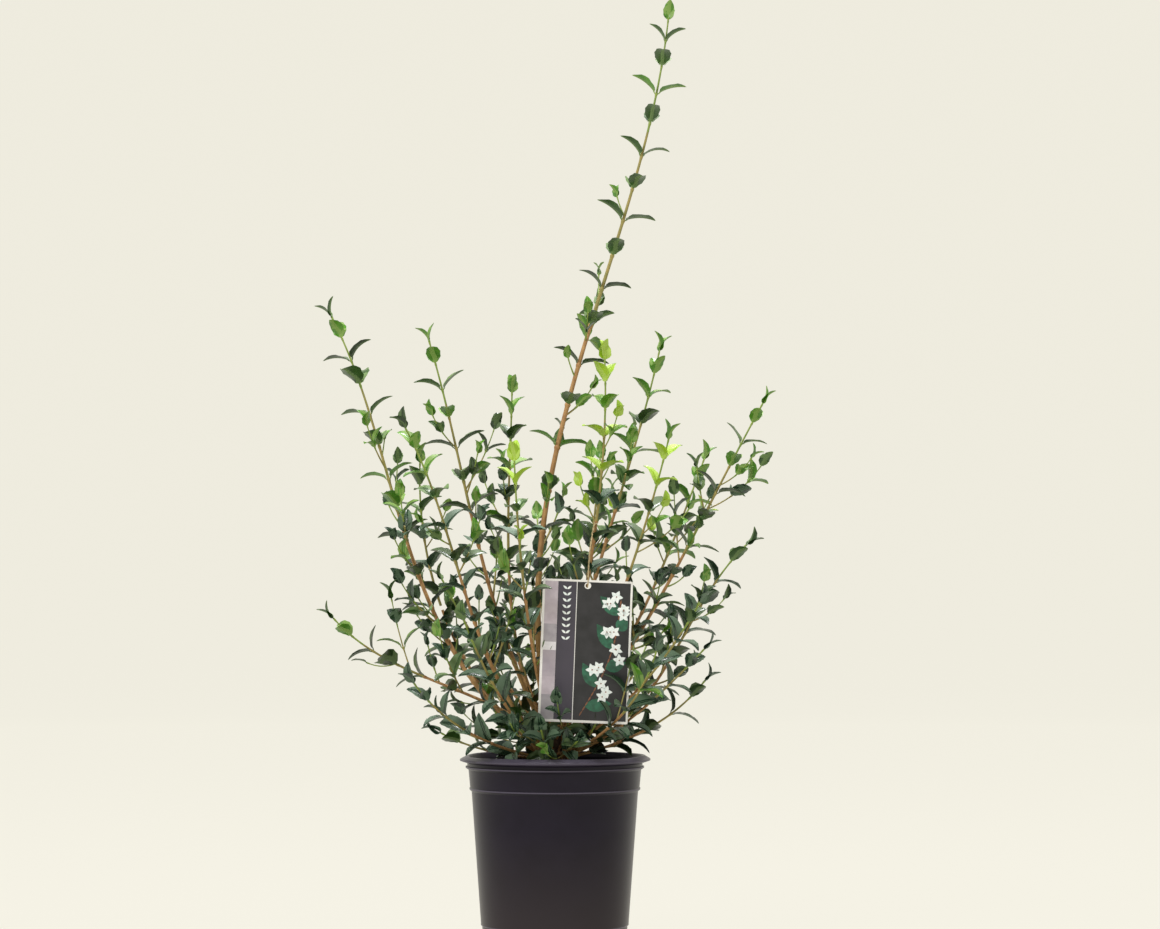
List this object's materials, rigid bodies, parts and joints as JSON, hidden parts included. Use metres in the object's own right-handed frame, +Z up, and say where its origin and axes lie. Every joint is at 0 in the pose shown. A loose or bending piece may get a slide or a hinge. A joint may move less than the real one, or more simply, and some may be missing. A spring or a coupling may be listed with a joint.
{
  "type": "potted burkwood osmanthus shrub",
  "caption": "Young evergreen shrub with upright leafy shoots, growing in a round black nursery pot with a picture label tied to a stem.",
  "frame": {"origin": "centre of the pot's flat underside", "axes": "+Z up, the pictured side faces -Y, +X to its right"},
  "size_m": [0.4597, 0.3656, 0.9495],
  "materials": {
    "pot_plastic": "moulded, satin",
    "potting_mix": "loose and damp",
    "bark": "thin tan bark",
    "foliage": "glossy dark green leaves",
    "young_foliage": "soft yellow-green leaves",
    "label_card": "printed plastic card",
    "label_tie": "twisted pale tie"
  },
  "bodies": {
    "root": {"bough_back_left": "bark", "bough_back_spreading": "bark", "bough_back_upright": "bark", "bough_front_slender": "bark", "bough_front_tall": "bark", "bough_leader": "bark", "bough_left_back": "bark", "bough_left_front": "bark", "bough_left_inner": "bark", "bough_left_low": "bark", "bough_left_tall": "bark", "bough_right_back": "bark", "bough_right_front": "bark", "bough_right_spreading": "bark", "bough_right_tall": "bark", "bough_right_upright": "bark", "foliage_back_left": "foliage", "foliage_back_left_low": "foliage", "foliage_back_right_low": "foliage", "foliage_back_rim": "foliage", "foliage_back_spreading": "foliage", "foliage_back_upright": "foliage", "foliage_front_left_low": "foliage", "foliage_front_low": "foliage", "foliage_front_right_low": "foliage", "foliage_front_right_short": "foliage", "foliage_front_rim": "foliage", "foliage_front_slender": "young_foliage", "foliage_front_tall": "young_foliage", "foliage_inner_back": "foliage", "foliage_inner_core": "foliage", "foliage_inner_front": "foliage", "foliage_inner_left": "foliage", "foliage_inner_left_low": "foliage", "foliage_inner_right": "foliage", "foliage_inner_right_low": "foliage", "foliage_leader": "foliage", "foliage_left_back": "foliage", "foliage_left_front": "foliage", "foliage_left_front_low": "foliage", "foliage_left_inner": "foliage", "foliage_left_low": "foliage", "foliage_left_rim": "foliage", "foliage_left_short": "foliage", "foliage_left_tall": "foliage", "foliage_right_back": "young_foliage", "foliage_right_front": "young_foliage", "foliage_right_low": "foliage", "foliage_right_low_front": "foliage", "foliage_right_spreading": "foliage", "foliage_right_tall": "foliage", "foliage_right_upright": "foliage", "label_card": "label_card", "label_tie": "label_tie", "pot": "pot_plastic", "potting_soil": "potting_mix", "trunk": "bark"}
  },
  "joints": []
}
